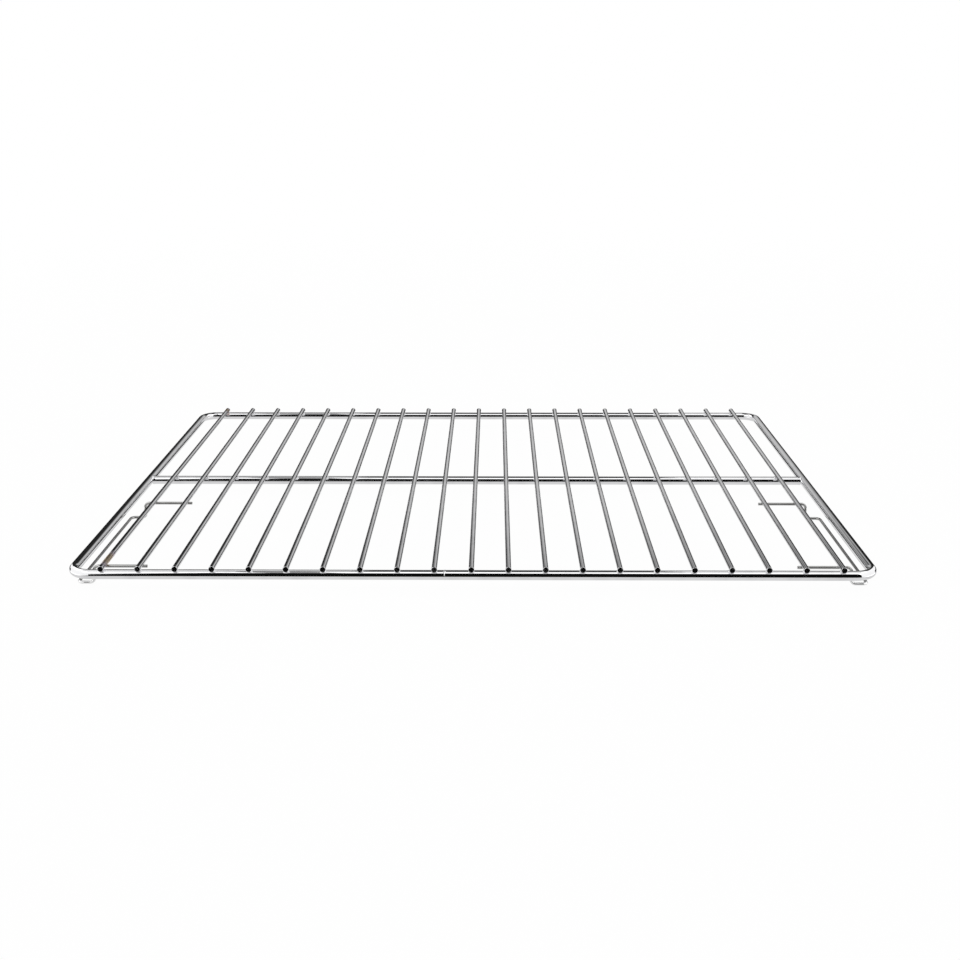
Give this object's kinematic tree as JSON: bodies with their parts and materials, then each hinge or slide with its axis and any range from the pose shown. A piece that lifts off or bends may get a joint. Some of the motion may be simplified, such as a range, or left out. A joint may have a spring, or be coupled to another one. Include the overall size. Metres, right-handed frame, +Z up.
{
  "type": "oven shelf rack",
  "caption": "Chrome-plated welded wire oven shelf: rounded rectangular rod frame with a cross rod, parallel grid wires on top and a small drop guide under each side.",
  "frame": {"origin": "centre of the rack's outline, on the plane that the guide rails touch down on", "axes": "+X across the width along the cross rod, +Y from the near run with the butt weld to the far run, +Z up through the grid"},
  "size_m": [0.65, 0.53, 0.0206],
  "materials": {
    "rod_plating": "bright chrome plate on steel rod",
    "wire_plating": "bright chrome plate on drawn steel wire",
    "guide_plating": "bright chrome plate on bent steel wire"
  },
  "bodies": {
    "root": {"cross_rod": "rod_plating", "frame_rod": "rod_plating", "grid_wire_01": "wire_plating", "grid_wire_02": "wire_plating", "grid_wire_03": "wire_plating", "grid_wire_04": "wire_plating", "grid_wire_05": "wire_plating", "grid_wire_06": "wire_plating", "grid_wire_07": "wire_plating", "grid_wire_08": "wire_plating", "grid_wire_09": "wire_plating", "grid_wire_10": "wire_plating", "grid_wire_11": "wire_plating", "grid_wire_12": "wire_plating", "grid_wire_13": "wire_plating", "grid_wire_14": "wire_plating", "grid_wire_15": "wire_plating", "grid_wire_16": "wire_plating", "grid_wire_17": "wire_plating", "grid_wire_18": "wire_plating", "grid_wire_19": "wire_plating", "grid_wire_20": "wire_plating", "grid_wire_21": "wire_plating", "guide_left": "guide_plating", "guide_right": "guide_plating"}
  },
  "joints": []
}
